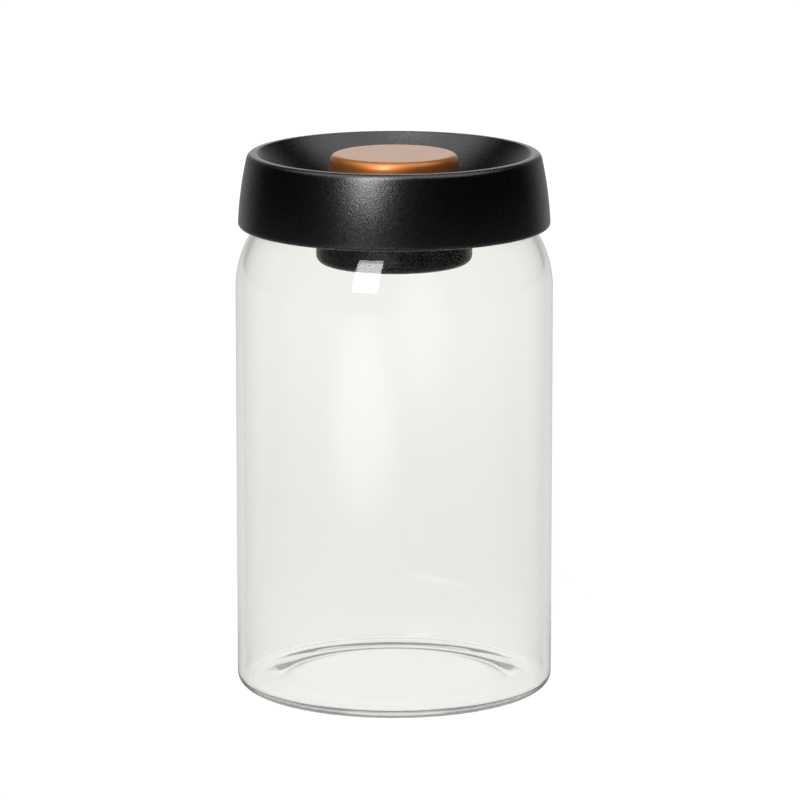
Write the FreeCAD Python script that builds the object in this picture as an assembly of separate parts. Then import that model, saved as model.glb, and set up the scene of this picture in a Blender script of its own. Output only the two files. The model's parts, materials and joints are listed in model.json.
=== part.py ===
"""Glass vacuum canister: a clear jar closed by a bowl-shaped lid with a push pump.

The jar stands on z = 0 with its axis on Z. Pressing the button drives a piston down a cup that
hangs in the mouth of the jar. The pressed air leaves past a flap on the piston, the spring lifts
the piston again, and air from the jar follows it past a flap in the floor of the cup. A turn of
the button lifts a small valve off the tube at the centre, which lets air back into the jar.
"""

import FreeCAD, Part
import math
import os

# Sizes are in millimetres, with radii measured from the axis of the jar.

# Clearances that several pieces share
slip = 0.1  # between pieces that are pushed together by hand
run_gap = 0.3  # between pieces that move past each other
overrun = 1.0  # how far a cutting shape passes the faces that it cuts

# Glass jar
jar_radius = 52.0
jar_wall = 2.4
jar_corner = 4.0
jar_inner_corner = 0.9
base_thickness = 3.0
foot_width = 2.0
punt_width = 16.0
punt_rise = 1.2
body_height = 133.0
shoulder_radius = 34.0
neck_fillet = 2.5
neck_height = 3.4
rim_round = 0.9

# Mouth seal, a silicone ring round the plug of the inner lid
seal_flange = 1.2
seal_body = 1.2
seal_lip = 0.9
seal_lip_count = 2
seal_gap = 0.25

# Inner lid, the plug that carries the mouth seal
plate_width = 6.9
plug_gap = 2.3
plug_depth = 7.5
plug_wall = 1.6
plug_flange = 1.3
plug_flange_inset = 0.4
plug_lip = 0.7
plug_lip_height = 1.0
plate_thickness = 2.2

# Lid shell, a skirt and a bowl in one moulding
lid_overhang = 10.1
skirt_drop = 9.1
skirt_wall = 2.0
skirt_lean = 3.3
skirt_crown = 0.6
skirt_round = 1.3
skirt_inner_round = 0.4
crest_width = 2.9
crest_round = 2.2
crest_inner_round = 0.6
crest_thickness = 3.4
bowl_depth = 14.3
bowl_sag = 0.9
bowl_wall = 2.0
bowl_floor_rise = 0.7
bowl_floor_wall = 2.2
bowl_floor_width = 3.9
bowl_floor_round = 4.0
bore_round = 0.4
collar_wall = 2.2
collar_short = 0.9
rib_thickness = 1.6
rib_count = 6

# Pump cup, the cylinder of the pump
piston_stop = 2.1
cup_wall = 1.8
cup_depth = 19.8
cup_floor = 1.8
cup_recess_depth = 2.6
cup_recess_wall = 5.1
cup_round = 3.0
cup_flange_width = 3.9
cup_flange = 1.6
cup_flange_round = 0.5
bead_depth = 0.5
bead_height = 1.2
inlet_port_radius = 0.8
inlet_port_count = 8

# Cup seal, a flat gasket between the cup and the inner lid
gasket_thickness = 0.8
gasket_inset = 0.2

# Filter below the floor of the cup
screen_thickness = 0.3
screen_hole = 0.9
screen_rings = 4
filter_lip = 1.1
filter_lip_height = 0.4
filter_wall = 0.6

# Vent tube at the centre, its nut, and the inlet flap that it holds down
tube_radius = 3.0
tube_bore = 3.0
tube_flange_width = 2.0
tube_flange = 0.8
tube_rise = 0.6
nut_wall = 1.0
nut_height = 1.5
flap_thickness = 0.6
inlet_flap_overlap = 0.7

# Plunger, the piston with its hollow stem
piston_height = 4.0
piston_clearance = 0.35
piston_groove_depth = 2.15
piston_groove_height = 2.2
piston_seal_gap = 0.1
hub_recess = 1.4
hub_height = 2.2
hub_groove_depth = 1.2
hub_groove_height = 1.2
stem_wall = 1.6
pocket_width = 2.8
pocket_rise = 6.5
stem_flange = 1.0
stem_flange_height = 1.6
exhaust_port_radius = 1.2
exhaust_port_count = 8
exhaust_flap_inset = 0.2
flap_bead = 0.6

# Return spring between the floor of the cup and the roof of the pocket in the plunger
wire_radius = 0.45
spring_turns = 7
spring_play = 0.05

# Button, a thin metal cap on a moulded core
button_drop = 0.4
button_bore_gap = 0.4
cap_wall = 0.9
cap_round = 2.6
cap_lift = 1.0
cap_edge_round = 0.2
core_roof = 1.3
core_wall = 1.6
core_lift = 2.0
core_chamfer = 1.8
snap_depth = 0.3
snap_height = 0.6
snap_rise = 2.4
bearing_width = 2.0
bearing_height = 2.1
vent_slot = 4.0
vent_slot_count = 3
cam_tube_wall = 1.2
cam_ledge = 1.7
cam_ledge_height = 0.6
cam_rise = 0.9
cam_turn = 45.0
cam_dwell = 25.0

# Swivel ring, which holds the button on the stem, and its screws
swivel_thickness = 1.2
swivel_gap = 0.2
post_radius = 1.6
post_sink = 0.2
screw_count = 3
screw_radius = 0.7
screw_head_inset = 0.3
screw_head = 1.0
screw_length = 4.0
screw_slot = 0.4
screw_slot_depth = 0.5

# Vent valve on top of the vent tube
valve_overlap = 1.6
pad_thickness = 0.6
valve_disc = 1.0
valve_rim = 0.2
lug_width = 2.4
lug_gap = 0.4
spigot_length = 5.2
spigot_groove = 1.0
spigot_groove_depth = 0.5

# Radii of the button and of what it holds, outward from the vent tube
hub_bore = tube_radius + 2 * slip
tube_flange_radius = tube_radius + tube_flange_width
inlet_port_circle = tube_flange_radius + inlet_flap_overlap + inlet_port_radius
inlet_flap_radius = inlet_port_circle + inlet_port_radius + inlet_flap_overlap
spigot_width = tube_bore - 2 * slip
valve_radius = tube_radius + valve_overlap
cam_bore = valve_radius + run_gap
cam_tube_bore = cam_bore + cam_ledge
cam_tube_radius = cam_tube_bore + cam_tube_wall
lug_reach = cam_tube_bore - lug_gap
cavity_radius = cam_tube_radius + 2 * run_gap
pocket_inner = cavity_radius + stem_wall
pocket_outer = pocket_inner + pocket_width
stem_radius = pocket_outer + stem_wall
stem_flange_radius = stem_radius + stem_flange
post_circle = stem_flange_radius + swivel_gap + post_radius
screw_head_radius = post_radius - screw_head_inset
core_bore = post_circle + post_radius - post_sink
core_radius = core_bore + core_wall
cap_bore = core_radius + slip
button_radius = cap_bore + cap_wall
flap_seat = stem_radius + slip
exhaust_flap_radius = core_radius - exhaust_flap_inset
exhaust_port_circle = (flap_seat + exhaust_flap_radius) / 2

# Radii of the pump cup and of what goes round it or into it
button_bore = button_radius + button_bore_gap
cup_bore = button_bore + piston_stop
cup_radius = cup_bore + cup_wall
cup_flange_radius = cup_radius + cup_flange_width
collar_bore = cup_radius + slip
collar_radius = collar_bore + collar_wall
piston_radius = cup_bore - piston_clearance
piston_groove_radius = piston_radius - piston_groove_depth
filter_radius = cup_radius - cup_recess_wall - slip
filter_bore = filter_radius - filter_wall - filter_lip
screen_pitch = (filter_bore - screen_hole - slip) / screen_rings

# Radii of the lid and of the mouth of the jar, outward from the pump cup
plug_bore = collar_radius + plate_width
plug_radius = plug_bore + plug_wall
neck_bore = plug_radius + plug_gap
neck_radius = neck_bore + jar_wall
plug_flange_radius = neck_radius - plug_flange_inset
lid_radius = neck_radius + lid_overhang
crest_outer = lid_radius - skirt_lean
crest_inner = crest_outer - crest_width
bowl_floor_radius = button_bore + bowl_floor_width

# Radii of the base of the jar, inward from its outside
foot = jar_radius - jar_corner
foot_bore = foot - foot_width
punt_radius = foot_bore - punt_width

# Levels of the jar
shoulder_center = (jar_radius - shoulder_radius, body_height)
neck_reach = neck_radius + neck_fillet - shoulder_center[0]
neck_base = body_height + math.sqrt((shoulder_radius + neck_fillet) ** 2 - neck_reach ** 2)
neck_center = (neck_radius + neck_fillet, neck_base)
rim_level = neck_base + neck_height

# Levels of the lid
plug_flange_base = rim_level + seal_flange
plug_flange_top = plug_flange_base + plug_flange
plate_base = rim_level - plug_depth
plate_top = plate_base + plate_thickness
lid_base = rim_level - skirt_drop
floor_top = rim_level + bowl_floor_rise
floor_under = floor_top - bowl_floor_wall
crest_level = floor_top + bowl_depth
collar_base = plate_base + collar_short

# Levels of the pump cup and what stands on its floor
cup_base = floor_under - cup_depth
cup_floor_base = cup_base + cup_recess_depth
cup_floor_top = cup_floor_base + cup_floor
cup_flange_top = plate_base - gasket_thickness
bead_level = (collar_base + floor_under) / 2
screen_base = cup_base + filter_lip_height
flap_top = cup_floor_top + flap_thickness

# Levels of the button, below the crest of the lid
button_top = crest_level - button_drop
core_top = button_top - cap_wall
roof_base = core_top - core_roof

# Levels of the plunger, with its piston against the floor of the bowl
piston_top = floor_under
piston_base = piston_top - piston_height
piston_groove_base = piston_base + (piston_height - piston_groove_height) / 2
hub_base = piston_base + hub_recess
hub_top = hub_base + hub_height
hub_groove_base = hub_base + (hub_height - hub_groove_height) / 2
tube_top = hub_top + tube_rise
pocket_roof = piston_top + pocket_rise
stem_top = roof_base - bearing_height
stem_flange_base = stem_top - stem_flange_height

# Levels of what the button carries and of the vent valve
cap_base = piston_top + cap_lift
core_base = piston_top + core_lift
snap_level = core_base + snap_rise
cam_base = hub_top + run_gap
cam_low = cam_base + cam_ledge_height
swivel_top = stem_flange_base - slip
swivel_base = swivel_top - swivel_thickness
valve_base = tube_top + pad_thickness
valve_top = valve_base + valve_disc

AXIS = FreeCAD.Vector(0, 0, 1)
ORIGIN = FreeCAD.Vector(0, 0, 0)
FULL_TURN = 360
NEAR_SHARE = 1e-4


def spot(radius, level):
    """Point of an outline, in the plane of X and Z."""
    return FreeCAD.Vector(radius, 0, level)


def lathe(*outline, turn=FULL_TURN):
    """Solid of revolution about Z. An item of the outline is a corner (radius, level), or a corner
    that an arc leads to, written (radius on the arc, level on the arc, radius, level)."""
    corners = [item[-2:] for item in outline]
    edges = []
    for before, item in zip(corners[-1:] + corners[:-1], outline):
        start, end = spot(*before), spot(*item[-2:])
        if len(item) > 2:
            edges.append(Part.Arc(start, spot(*item[:2]), end).toShape())
        else:
            edges.append(Part.LineSegment(start, end).toShape())
    solid = Part.Face(Part.Wire(edges)).revolve(ORIGIN, AXIS, turn)
    if solid.Volume < 0:
        solid.reverse()
    return solid


def turn_to(center, radius, start_angle, end_angle):
    """Arc item of an outline about a center, between two angles in radians."""
    middle = (start_angle + end_angle) / 2
    return (
        center[0] + radius * math.cos(middle),
        center[1] + radius * math.sin(middle),
        center[0] + radius * math.cos(end_angle),
        center[1] + radius * math.sin(end_angle),
    )


def eased(level_end, far_end):
    """Point on the arc that is level at one end and passes through the other."""
    run, rise = far_end[0] - level_end[0], far_end[1] - level_end[1]
    radius = (run ** 2 + rise ** 2) / (2 * rise)
    slope = math.atan(rise / run)
    return level_end[0] + radius * math.sin(slope), level_end[1] + radius * (1 - math.cos(slope))


def ogee(start, end):
    """Two arc items from start to end that are level at both ends and bend one way, then back."""
    middle = ((start[0] + end[0]) / 2, (start[1] + end[1]) / 2)
    return (*eased(start, middle), *middle), (*eased(end, middle), *end)


def bowed(start, end, sag):
    """Center and radius of the arc from start to end that bows to the right by sag."""
    run, rise = end[0] - start[0], end[1] - start[1]
    chord = math.hypot(run, rise)
    radius = (chord ** 2 / 4 + sag ** 2) / (2 * sag)
    back = (radius - sag) / chord
    return ((start[0] + end[0]) / 2 - rise * back, (start[1] + end[1]) / 2 + run * back), radius


def bow_to(center, radius, start, end):
    """Arc item about a center from the direction of start to the place end."""
    middle = (angle_at(center, start) + angle_at(center, end)) / 2
    return center[0] + radius * math.cos(middle), center[1] + radius * math.sin(middle), *end


def angle_at(center, place):
    """Direction of a place from a center, in radians."""
    return math.atan2(place[1] - center[1], place[0] - center[0])


def level_on(center, radius, reach):
    """Level of the lower side of a circle at a distance from the axis."""
    return center[1] - math.sqrt(radius ** 2 - (reach - center[0]) ** 2)


def reach_on(center, radius, level):
    """Distance from the axis of the outer side of a circle at a level."""
    return center[0] + math.sqrt(radius ** 2 - (level - center[1]) ** 2)


def rounded(solid, radius, *places):
    """The solid with a fillet on its round edges at these places, each (radius, level)."""
    near = NEAR_SHARE * jar_radius
    found = []
    for edge in solid.Edges:
        curve = edge.Curve
        if isinstance(curve, Part.Circle) and edge.Length > math.pi * curve.Radius:
            for reach, level in places:
                if abs(curve.Radius - reach) < near and abs(curve.Center.z - level) < near:
                    found.append(edge)
    return solid.makeFillet(radius, found)


def around(shape, count, start=0):
    """Copies of a shape spaced evenly about the axis, from a start angle in degrees."""
    copies = []
    for index in range(count):
        copy = shape.copy()
        copy.rotate(ORIGIN, AXIS, start + FULL_TURN * index / count)
        copies.append(copy)
    return copies


def rod(radius, base, top, circle=0):
    """Upright cylinder between two levels, at a distance from the axis of the jar."""
    return Part.makeCylinder(radius, top - base, FreeCAD.Vector(circle, 0, base))


def block(start, end, width, base, top):
    """Upright box between two places on X, centred on Y."""
    return Part.makeBox(end - start, width, top - base, FreeCAD.Vector(start, -width / 2, base))


def washer(inner, outer, base, top):
    """Flat ring."""
    return lathe((inner, base), (outer, base), (outer, top), (inner, top))


def ridge(root, tip, level, height):
    """Outline of a blunt ridge or groove from a root radius to a tip radius, going up."""
    return (
        (root, level - height / 2),
        (tip, level - height / 6),
        (tip, level + height / 6),
        (root, level + height / 2),
    )


def glass_jar():
    """Blown jar: a flat floor, hollowed below, a straight body, a round shoulder and a neck."""
    lean = angle_at(shoulder_center, neck_center)
    bore = jar_radius - jar_wall
    floor_edge = bore - jar_inner_corner
    floor_corner = base_thickness + jar_inner_corner
    jar = lathe(
        (0, punt_rise),
        (punt_radius, punt_rise),
        *ogee((punt_radius, punt_rise), (foot_bore, 0)),
        (foot, 0),
        turn_to((foot, jar_corner), jar_corner, -math.pi / 2, 0),
        (jar_radius, body_height),
        turn_to(shoulder_center, shoulder_radius, 0, lean),
        turn_to(neck_center, neck_fillet, math.pi + lean, math.pi),
        (neck_radius, rim_level),
        (neck_bore, rim_level),
        (neck_bore, neck_base),
        turn_to(neck_center, neck_fillet + jar_wall, math.pi, math.pi + lean),
        turn_to(shoulder_center, shoulder_radius - jar_wall, lean, 0),
        (bore, floor_corner),
        turn_to((floor_edge, floor_corner), jar_inner_corner, 0, -math.pi / 2),
        (0, base_thickness),
    )
    return rounded(jar, rim_round, (neck_radius, rim_level), (neck_bore, rim_level))


def mouth_seal():
    """Silicone ring: a flange on the rim of the jar and a sleeve with lips in its neck."""
    inner = plug_radius + slip
    body = inner + seal_body
    flange = plug_flange_radius - slip
    lips = []
    for index in range(seal_lip_count):
        share = (2 * index + 1) / (2 * seal_lip_count)
        level = neck_base + (neck_height - rim_round) * share
        lips.extend(ridge(body, neck_bore - seal_gap, level, seal_lip))
    return lathe(
        (inner, plate_base + plug_lip_height + slip),
        (body, plate_base + plug_lip_height + slip),
        *lips,
        (body, rim_level),
        (flange, rim_level),
        (flange, plug_flange_base),
        (inner, plug_flange_base),
    )


def inner_lid():
    """Plug with a flange above the mouth seal, a lip below it and a hole for the pump cup."""
    hole = collar_radius + slip
    lip = plug_radius + plug_lip
    return lathe(
        (hole, plate_base),
        (lip, plate_base),
        (lip, plate_base + plug_lip_height),
        (plug_radius, plate_base + plug_lip_height),
        (plug_radius, plug_flange_base),
        (plug_flange_radius, plug_flange_base),
        (plug_flange_radius, plug_flange_top),
        (plug_bore, plug_flange_top),
        (plug_bore, plate_top),
        (hole, plate_top),
    )


def lid_shell():
    """Skirt, crest and bowl in one, with a snap collar for the cup and ribs on the inner lid."""
    skirt_center, skirt_radius = bowed((lid_radius, lid_base), (crest_outer, crest_level), skirt_crown)
    skirt_inner = skirt_radius - skirt_wall
    skirt_bore = reach_on(skirt_center, skirt_inner, lid_base)
    rim, edge = (bowl_floor_radius, floor_top), (crest_inner, crest_level)
    bowl_center, bowl_radius = bowed(rim, edge, bowl_sag)
    bowl_outer = bowl_radius + bowl_wall
    hollow_top = crest_level - crest_thickness
    hollow_start = (collar_radius, level_on(bowl_center, bowl_outer, collar_radius))
    hollow_inner = (reach_on(bowl_center, bowl_outer, hollow_top), hollow_top)
    hollow_outer = (reach_on(skirt_center, skirt_inner, hollow_top), hollow_top)
    groove = ridge(collar_bore, collar_bore + bead_depth, bead_level, bead_height + 2 * slip)
    shell = lathe(
        (button_bore, floor_top),
        (button_bore, floor_under),
        (collar_bore, floor_under),
        *reversed(groove),
        (collar_bore, collar_base),
        (collar_radius, collar_base),
        hollow_start,
        bow_to(bowl_center, bowl_outer, hollow_start, hollow_inner),
        hollow_outer,
        bow_to(skirt_center, skirt_inner, hollow_outer, (skirt_bore, lid_base)),
        (lid_radius, lid_base),
        bow_to(skirt_center, skirt_radius, (lid_radius, lid_base), (crest_outer, crest_level)),
        edge,
        bow_to(bowl_center, bowl_radius, edge, rim),
    )
    shell = rounded(shell, skirt_round, (lid_radius, lid_base))
    shell = rounded(shell, skirt_inner_round, (skirt_bore, lid_base))
    shell = rounded(shell, crest_round, (crest_outer, crest_level))
    shell = rounded(shell, crest_inner_round, edge)
    shell = rounded(shell, bowl_floor_round, rim)
    shell = rounded(shell, bore_round, (button_bore, floor_top))
    return shell.fuse(around(lid_rib(bowl_center, bowl_radius), rib_count)).removeSplitter()


def lid_rib(bowl_center, bowl_radius):
    """Upright rib below the bowl that bears on the plate and on the flange of the inner lid."""
    root = collar_radius - collar_wall / 2
    step = plug_bore - run_gap
    inside_wall = bowl_radius + bowl_wall / 2
    corners = [
        (root, plate_top),
        (step, plate_top),
        (step, plug_flange_top),
        (plug_flange_radius, plug_flange_top),
        (plug_flange_radius, level_on(bowl_center, inside_wall, plug_flange_radius)),
        (root, level_on(bowl_center, inside_wall, root)),
        (root, plate_top),
    ]
    rib = Part.Face(Part.makePolygon([spot(*corner) for corner in corners]))
    rib.translate(FreeCAD.Vector(0, -rib_thickness / 2, 0))
    return rib.extrude(FreeCAD.Vector(0, rib_thickness, 0))


def pump_cup():
    """Cylinder with a snap bead, a clamping flange, inlet ports and a recess for the filter."""
    recess = cup_radius - cup_recess_wall
    hole = tube_radius + slip
    bead = ridge(cup_radius, cup_radius + bead_depth, bead_level, bead_height)
    flange_base = cup_flange_top - cup_flange
    cup = lathe(
        (hole, cup_floor_top),
        (cup_bore, cup_floor_top),
        (cup_bore, floor_under),
        (cup_radius, floor_under),
        *reversed(bead),
        (cup_radius, cup_flange_top),
        (cup_flange_radius, cup_flange_top),
        (cup_flange_radius, flange_base),
        (cup_radius, flange_base),
        (cup_radius, cup_base),
        (recess, cup_base),
        (recess, cup_floor_base),
        (hole, cup_floor_base),
    )
    cup = rounded(cup, cup_round, (cup_radius, cup_base))
    cup = rounded(cup, cup_flange_round, (cup_flange_radius, flange_base))
    port = rod(inlet_port_radius, cup_floor_base - overrun, cup_floor_top + overrun, inlet_port_circle)
    return cup.cut(around(port, inlet_port_count))


def cup_seal():
    """Gasket on the flange of the cup, below the plate of the inner lid."""
    return washer(cup_radius + gasket_inset, cup_flange_radius - gasket_inset, cup_flange_top, plate_base)


def filter_screen():
    """Perforated disc on the lip of the filter ring."""
    radius = filter_radius - filter_wall - slip
    top = screen_base + screen_thickness
    holes = [rod(screen_hole, screen_base - overrun, top + overrun)]
    for ring in range(1, screen_rings + 1):
        hole = rod(screen_hole, screen_base - overrun, top + overrun, ring * screen_pitch)
        holes.extend(around(hole, 6 * ring))
    return rod(radius, screen_base, top).cut(holes)


def filter_ring():
    """Snap ring in the recess of the cup, with a lip below the screen."""
    wall = filter_radius - filter_wall
    return lathe(
        (filter_bore, cup_base),
        (filter_radius, cup_base),
        (filter_radius, cup_floor_base),
        (wall, cup_floor_base),
        (wall, screen_base),
        (filter_bore, screen_base),
    )


def vent_tube():
    """Tube with a square bore, through the floor of the cup, with a flange on the inlet flap."""
    base = cup_floor_base - nut_height - slip
    tube = lathe(
        (0, base),
        (tube_radius, base),
        (tube_radius, flap_top),
        (tube_flange_radius, flap_top),
        (tube_flange_radius, flap_top + tube_flange),
        (tube_radius, flap_top + tube_flange),
        (tube_radius, tube_top),
        (0, tube_top),
    )
    return tube.cut(block(-tube_bore / 2, tube_bore / 2, tube_bore, base - overrun, tube_top + overrun))


def tube_nut():
    """Hexagon nut on the tube, below the floor of the cup."""
    base = cup_floor_base - nut_height
    corner = spot(2 * (tube_radius + nut_wall) / math.sqrt(3), base)
    turns = [FreeCAD.Rotation(AXIS, FULL_TURN * index / 6) for index in range(7)]
    hexagon = Part.Face(Part.makePolygon([turn.multVec(corner) for turn in turns]))
    nut = hexagon.extrude(FreeCAD.Vector(0, 0, nut_height))
    return nut.cut(rod(tube_radius + slip, base - overrun, cup_floor_base + overrun))


def inlet_flap():
    """Silicone washer on the inlet ports, held down at the middle by the tube."""
    return washer(tube_radius + slip, inlet_flap_radius, cup_floor_top, flap_top)


def plunger():
    """Piston with a seal groove and ports, a hub on the tube, a spring pocket and a stem."""
    groove_top = piston_groove_base + piston_groove_height
    hub_groove = hub_bore + hub_groove_depth
    hub_groove_top = hub_groove_base + hub_groove_height
    roof_top = pocket_roof + stem_wall
    bead_center = piston_top + flap_thickness + slip + flap_bead / 2
    body = lathe(
        (hub_bore, hub_base),
        (hub_bore, hub_groove_base),
        (hub_groove, hub_groove_base),
        (hub_groove, hub_groove_top),
        (hub_bore, hub_groove_top),
        (hub_bore, hub_top),
        (cavity_radius, hub_top),
        (cavity_radius, roof_top),
        (pocket_outer, roof_top),
        (pocket_outer, stem_top),
        (stem_flange_radius, stem_top),
        (stem_flange_radius, stem_flange_base),
        (stem_radius, stem_flange_base),
        *reversed(ridge(stem_radius, stem_radius + flap_bead, bead_center, flap_bead)),
        (stem_radius, piston_top),
        (piston_radius, piston_top),
        (piston_radius, groove_top),
        (piston_groove_radius, groove_top),
        (piston_groove_radius, piston_groove_base),
        (piston_radius, piston_groove_base),
        (piston_radius, piston_base),
        (pocket_outer, piston_base),
        (pocket_outer, pocket_roof),
        (pocket_inner, pocket_roof),
        (pocket_inner, piston_base),
        (cavity_radius, piston_base),
        (cavity_radius, hub_base),
    )
    port = rod(exhaust_port_radius, piston_base - overrun, piston_top + overrun, exhaust_port_circle)
    return body.cut(around(port, exhaust_port_count))


def piston_seal():
    """Ring with two lips in the groove of the piston."""
    height = piston_groove_height - 2 * slip
    base = piston_groove_base + slip
    inner = piston_groove_radius + slip
    body = piston_radius - 2 * slip
    tip = cup_bore - piston_seal_gap
    return lathe(
        (inner, base),
        *ridge(body, tip, base + height / 4, height / 2)[:3],
        *ridge(body, tip, base + 3 * height / 4, height / 2),
        (inner, base + height),
    )


def tube_seal():
    """Round ring in the groove of the hub, on the tube."""
    section = hub_groove_height / 2 - slip
    level = hub_groove_base + hub_groove_height / 2
    return Part.makeTorus(tube_radius + slip + section, section, spot(0, level))


def exhaust_flap():
    """Silicone washer on the ports of the piston, held by a bead on the stem."""
    return washer(flap_seat, exhaust_flap_radius, piston_top, piston_top + flap_thickness)


def arc_from(start, direction, end):
    """Arc that leaves start along a direction and ends at a place."""
    chord = end - start
    along = FreeCAD.Vector(chord).normalize()
    aside = (direction - along * direction.dot(along)).normalize()
    sag = chord.Length / 2 * math.tan(direction.getAngle(along) / 2)
    return Part.Arc(start, (start + end) / 2 + aside * sag, end).toShape()


def return_spring():
    """Open coil of round wire, its path a chain of paired arcs, each pair a quarter turn."""
    circle = (pocket_inner + pocket_outer) / 2
    base = cup_floor_top + spring_play + wire_radius
    rise = (pocket_roof - spring_play - wire_radius - base) / spring_turns

    def place(turns):
        angle = 2 * math.pi * turns
        return FreeCAD.Vector(circle * math.cos(angle), circle * math.sin(angle), base + rise * turns)

    def heading(turns):
        angle = 2 * math.pi * turns
        run = 2 * math.pi * circle
        return FreeCAD.Vector(-run * math.sin(angle), run * math.cos(angle), rise).normalize()

    edges = []
    for quarter in range(4 * spring_turns):
        start, end = place(quarter / 4), place((quarter + 1) / 4)
        away, toward = heading(quarter / 4), heading((quarter + 1) / 4)
        chord, both = end - start, away + toward
        bend = 2 * (1 - away.dot(toward))
        half = chord.dot(both)
        reach = (math.sqrt(half ** 2 + bend * chord.dot(chord)) - half) / bend
        middle = (start + end + (away - toward) * reach) / 2
        edges.append(arc_from(start, away, middle))
        edges.append(arc_from(end, toward * -1, middle))
    section = Part.Wire(Part.makeCircle(wire_radius, place(0), heading(0)))
    print("least gap between turns of the spring:", spring_gap(place))
    return Part.Wire(edges).makePipeShell([section], True, False)


def spring_gap(place, steps=48):
    """Least distance between the surfaces of turns that lie beside each other."""
    points = [place(step / steps) for step in range(spring_turns * steps + 1)]
    least = pocket_roof
    for index, point in enumerate(points):
        for other in points[index + steps // 2:]:
            least = min(least, point.distanceToPoint(other))
    return least - 2 * wire_radius


def button_cap():
    """Drawn metal cap with a round edge and a snap bead inside its skirt."""
    bead = ridge(cap_bore, cap_bore - snap_depth, snap_level, snap_height)
    cap = lathe(
        (0, core_top),
        (cap_bore, core_top),
        *reversed(bead),
        (cap_bore, cap_base),
        (button_radius, cap_base),
        (button_radius, button_top),
        (0, button_top),
    )
    cap = rounded(cap, cap_round, (button_radius, button_top))
    cap = rounded(cap, cap_round - cap_wall, (cap_bore, core_top))
    return rounded(cap, cap_edge_round, (button_radius, cap_base), (cap_bore, cap_base))


def button_core():
    """Core below the cap: a bearing on the stem, screw posts, and a tube with a face cam."""
    bearing = stem_flange_radius - 2 * swivel_gap
    groove = ridge(core_radius, core_radius - snap_depth, snap_level, snap_height + 2 * slip)
    core = lathe(
        (0, roof_base),
        (cam_tube_bore, roof_base),
        (cam_tube_bore, cam_low),
        (cam_bore, cam_low),
        (cam_bore, cam_base),
        (cam_tube_radius, cam_base),
        (cam_tube_radius, roof_base),
        (bearing - bearing_width, roof_base),
        (bearing - bearing_width, stem_top),
        (bearing, stem_top),
        (bearing, roof_base),
        (core_bore, roof_base),
        (core_bore, core_base),
        (core_radius, core_base),
        *groove,
        (core_radius, core_top - core_chamfer),
        (core_radius - core_chamfer, core_top),
        (0, core_top),
    )
    post = rod(post_radius, swivel_top, roof_base + core_roof / 2, post_circle)
    core = core.fuse(around(post, screw_count) + around(cam_wedge(), 2)).removeSplitter()
    pilot_top = swivel_base + screw_length + 2 * slip
    pilot = rod(screw_radius + slip, swivel_top - overrun, pilot_top, post_circle)
    slot_start, slot_end = bearing - bearing_width - overrun, bearing + swivel_gap
    slot = block(slot_start, slot_end, vent_slot, stem_top - overrun, roof_base)
    slots = around(slot, vent_slot_count, FULL_TURN / (2 * vent_slot_count))
    return core.cut(around(pilot, screw_count) + slots)


def cam_wedge():
    """Ramp on the ledge of the cam tube. It starts beside a lug of the valve and climbs away."""
    turn = cam_turn + cam_dwell
    outer = cam_tube_bore + cam_tube_wall / 2
    high = cam_low + cam_rise
    wedge = lathe((cam_bore, cam_base), (outer, cam_base), (outer, high), (cam_bore, high), turn=turn)
    climb = cam_rise / (cam_tube_bore * math.sin(math.radians(cam_turn)))
    size = 2 * outer
    above = Part.makeBox(size, size, size, FreeCAD.Vector(0, -size, 0))
    above.rotate(ORIGIN, FreeCAD.Vector(1, 0, 0), -math.degrees(math.atan(climb)))
    above.translate(FreeCAD.Vector(0, 0, cam_low))
    above.rotate(ORIGIN, AXIS, turn)
    wedge = wedge.cut(above)
    wedge.rotate(ORIGIN, AXIS, -turn - math.degrees(math.atan2(lug_width / 2, cam_bore)))
    return wedge


def swivel_ring():
    """Flat ring below the flange of the stem, screwed to the posts of the core."""
    ring = washer(stem_radius + swivel_gap, core_bore - swivel_gap, swivel_base, swivel_top)
    hole = rod(screw_radius + 2 * slip, swivel_base - overrun, swivel_top + overrun, post_circle)
    return ring.cut(around(hole, screw_count))


def swivel_screws():
    """Screws with slotted heads, from below through the ring into the posts."""
    head_base = swivel_base - screw_head
    head = rod(screw_head_radius, head_base, swivel_base, post_circle)
    shank = rod(screw_radius, swivel_base, swivel_base + screw_length, post_circle)
    slot_start, slot_end = post_circle - screw_head_radius, post_circle + screw_head_radius
    slot = block(slot_start - overrun, slot_end + overrun, screw_slot, head_base - overrun,
                 head_base + screw_slot_depth)
    screw = head.fuse(shank).removeSplitter().cut(slot)
    return Part.makeCompound(around(screw, screw_count))


def vent_valve():
    """Disc with two lugs over the cam and a grooved square spigot in the bore of the tube."""
    base = valve_base - spigot_length
    half = spigot_width / 2
    bar = block(-lug_reach, lug_reach, lug_width, valve_base, valve_top)
    lugs = bar.common(rod(lug_reach, valve_base, valve_top))
    spigot = block(-half, half, spigot_width, base, valve_top)
    groove = block(half - spigot_groove_depth, half + overrun, spigot_groove, base - overrun, valve_base)
    spigot = spigot.cut(around(groove, 4))
    return rod(valve_radius, valve_base, valve_top).fuse([lugs, spigot]).removeSplitter()


def vent_pad():
    """Silicone washer below the disc of the valve, on the end of the tube."""
    inner = spigot_width / math.sqrt(2) + slip
    return washer(inner, valve_radius - valve_rim, tube_top, valve_base)


PIECES = [
    glass_jar, mouth_seal, inner_lid, lid_shell, pump_cup, cup_seal, filter_screen, filter_ring,
    vent_tube, tube_nut, inlet_flap, plunger, piston_seal, tube_seal, exhaust_flap, return_spring,
    button_cap, button_core, swivel_ring, swivel_screws, vent_valve, vent_pad,
]

os.makedirs("parts", exist_ok=True)
for piece in PIECES:
    piece().exportStep("parts/" + piece.__name__ + ".step")
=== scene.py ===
"""Glass vacuum canister: the finish of its pieces and the studio round it, as a Blender add-on.

The packed model is the frame. The pieces that show are surfaces of revolution worked out with numpy
in the places of their nodes, and the working parts inside stay as they are and get a finish.
"""

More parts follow.
